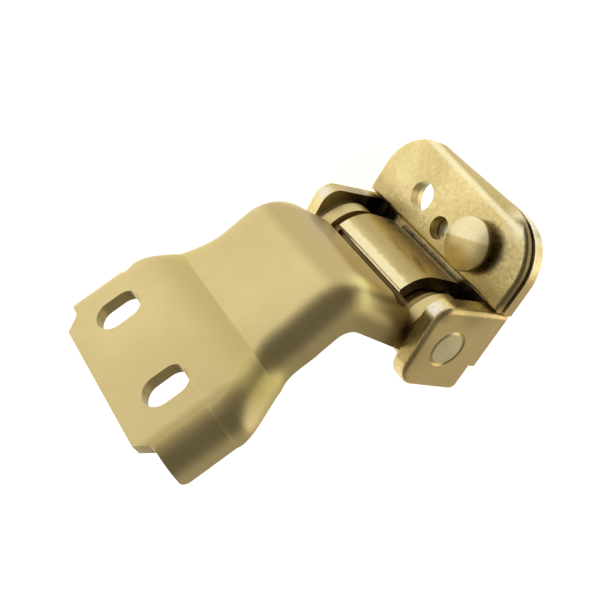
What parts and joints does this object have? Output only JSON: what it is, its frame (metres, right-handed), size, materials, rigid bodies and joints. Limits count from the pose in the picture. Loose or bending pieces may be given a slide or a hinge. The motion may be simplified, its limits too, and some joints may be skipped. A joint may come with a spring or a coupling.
{
  "type": "car door hinge",
  "caption": "Pressed-steel car door hinge: a cranked channel arm with slotted door pad turns on a pin between the ears of a folded pillar bracket with a check stud.",
  "frame": {"origin": "on the pillar face of the bracket, at the foot of the pin axis, halfway along the pin", "axes": "+Z along the pin, up on the car; +Y out of the pillar face towards the pin; +X along the plate towards its fold"},
  "size_m": [0.0803, 0.0844, 0.0637],
  "materials": {
    "arm_plating": "satin yellow zinc plate",
    "bracket_plating": "bright yellow zinc plate",
    "pin_plating": "turned and plated",
    "sleeve_steel": "drawn tube, plated, dull",
    "bush_metal": "sintered bronze, oiled",
    "washer_steel": "plain punched"
  },
  "bodies": {
    "bracket": {"body_bracket": "bracket_plating", "hinge_pin": "pin_plating", "check_stud": "bracket_plating", "pin_guard": "bracket_plating", "upper_bracket_washer": "washer_steel", "lower_bracket_washer": "washer_steel"},
    "arm": {"door_arm": "arm_plating", "upper_bush": "bush_metal", "lower_bush": "bush_metal", "spacer_sleeve": "sleeve_steel", "upper_arm_washer": "washer_steel", "lower_arm_washer": "washer_steel"}
  },
  "joints": [
    {"name": "door_swing", "type": "hinge", "parent": "bracket", "child": "arm", "pos_m": [0, 0.015, 0], "axis": [0, 0, 1], "range_deg": [-36, 34]}
  ]
}
